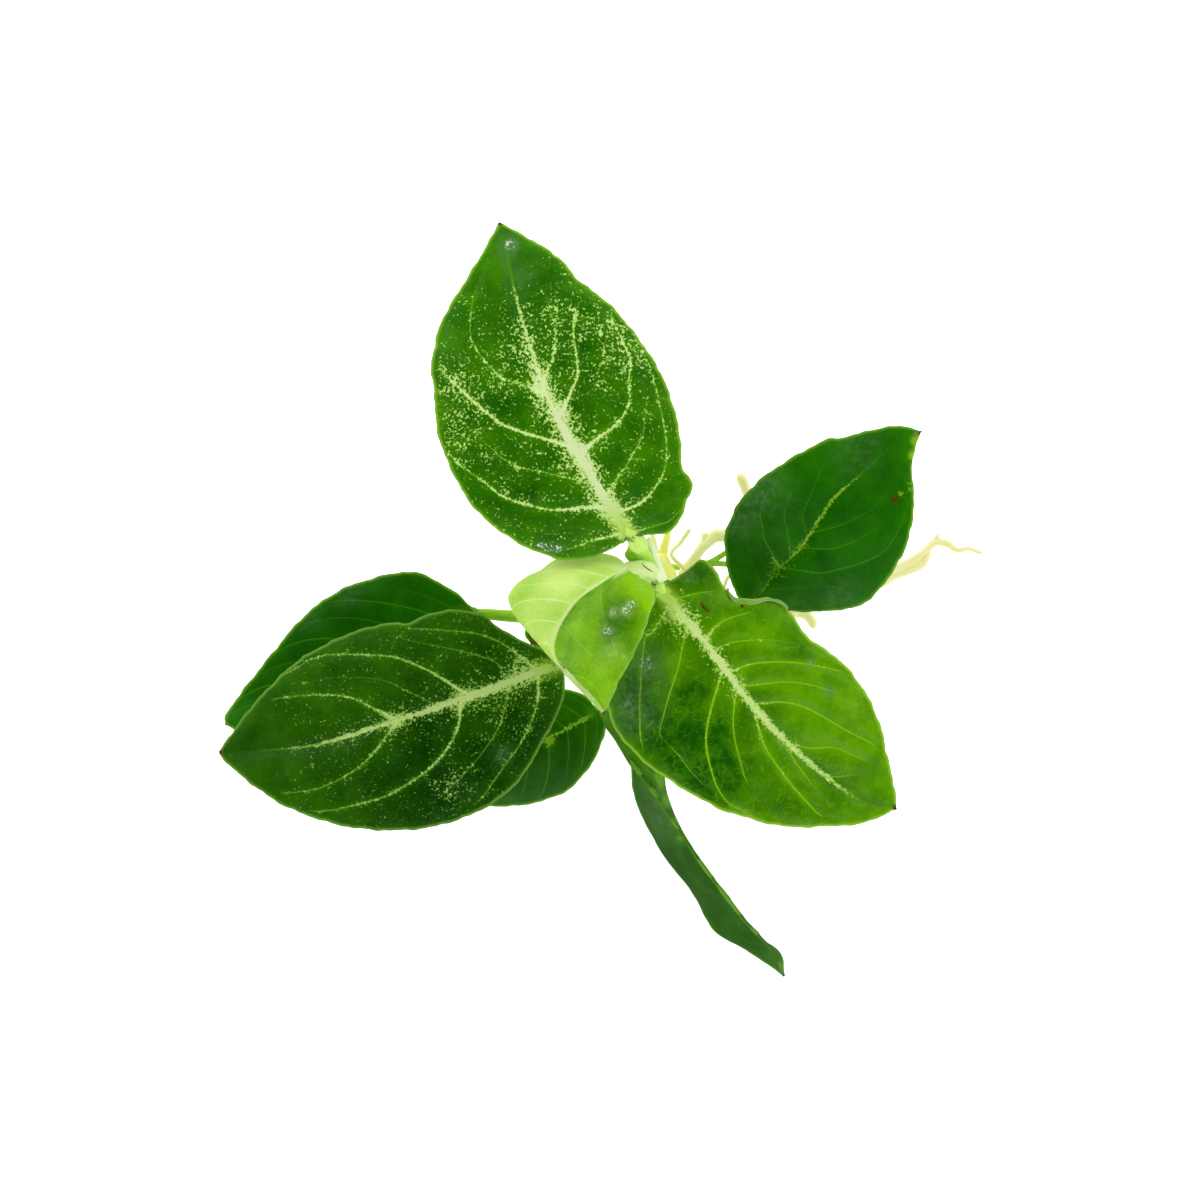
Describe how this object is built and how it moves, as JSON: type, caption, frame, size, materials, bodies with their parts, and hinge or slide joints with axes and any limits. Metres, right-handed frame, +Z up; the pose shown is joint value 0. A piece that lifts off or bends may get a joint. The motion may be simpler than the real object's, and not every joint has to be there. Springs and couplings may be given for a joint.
{
  "type": "giant stardust anubias plant",
  "caption": "Bare-rooted aquarium plant with a creeping rhizome and broad pointed leaves flecked with pale stardust variegation, lying on a flat surface.",
  "frame": {"origin": "on the surface the plant lies on, under the middle of its bounding box", "axes": "+Z up, +Y towards the upper leaf's tip, +X towards the long root and the right leaf"},
  "size_m": [0.174, 0.171, 0.0632],
  "materials": {
    "stardust_leaf": "glossy dark green with pale midrib and fine pale flecks",
    "bright_leaf": "glossy bright green with pale midrib",
    "dark_leaf": "satin dark green",
    "young_leaf": "satin pale yellow-green",
    "sheath": "thin, pale green with brown edges",
    "stalk": "smooth light green",
    "rhizome": "rough ringed green and brown",
    "root": "matte cream",
    "green_root": "smooth green"
  },
  "bodies": {
    "root": {"rhizome": "rhizome", "upper_leaf": "stardust_leaf", "upper_leaf_stalk": "stalk", "right_leaf": "bright_leaf", "right_leaf_stalk": "stalk", "left_leaf": "stardust_leaf", "left_leaf_stalk": "stalk", "back_left_leaf": "dark_leaf", "back_left_leaf_stalk": "stalk", "lower_leaf": "dark_leaf", "lower_leaf_stalk": "stalk", "far_right_leaf": "dark_leaf", "far_right_leaf_stalk": "stalk", "folded_leaf": "dark_leaf", "folded_leaf_stalk": "stalk", "young_leaf": "young_leaf", "young_leaf_stalk": "stalk", "small_leaf": "dark_leaf", "small_leaf_stalk": "stalk", "leaf_sheath": "sheath", "upper_root": "root", "upper_root_left_fork": "root", "upper_root_right_fork": "root", "middle_root": "root", "middle_root_stub": "root", "middle_root_tip": "root", "bent_root": "root", "long_root": "root", "long_root_fork": "root", "long_root_spur": "root", "long_root_side": "root", "thin_root": "root", "green_root": "green_root", "green_root_fork": "green_root"}
  },
  "joints": []
}
